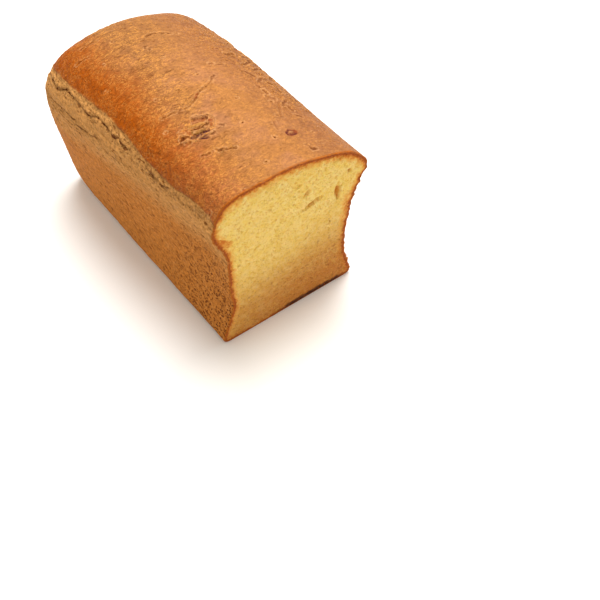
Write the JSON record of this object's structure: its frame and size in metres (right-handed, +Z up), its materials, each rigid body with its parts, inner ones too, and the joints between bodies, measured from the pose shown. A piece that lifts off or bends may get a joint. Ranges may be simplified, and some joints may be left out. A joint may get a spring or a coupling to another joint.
{
  "type": "tin loaf",
  "caption": "Baked tin loaf with a domed golden-brown top, sides drawn in at the waist, a rounded heel and one end cut off square to show pale yellow crumb.",
  "frame": {"origin": "bottom centre of the loaf's box, where it stands on its base", "axes": "+Z up; +Y along the loaf from the cut face to the heel; +X to the right as seen facing the cut face"},
  "size_m": [0.1134, 0.1918, 0.1285],
  "materials": {
    "crust": "baked crust, golden brown, satin on the dome and matt on the sides, paler where the sides broke below the shoulder",
    "crumb": "soft cut crumb, pale yellow, matt, with fine pores and a few larger holes"
  },
  "bodies": {
    "root": {"tin_loaf": "crust"}
  },
  "joints": []
}
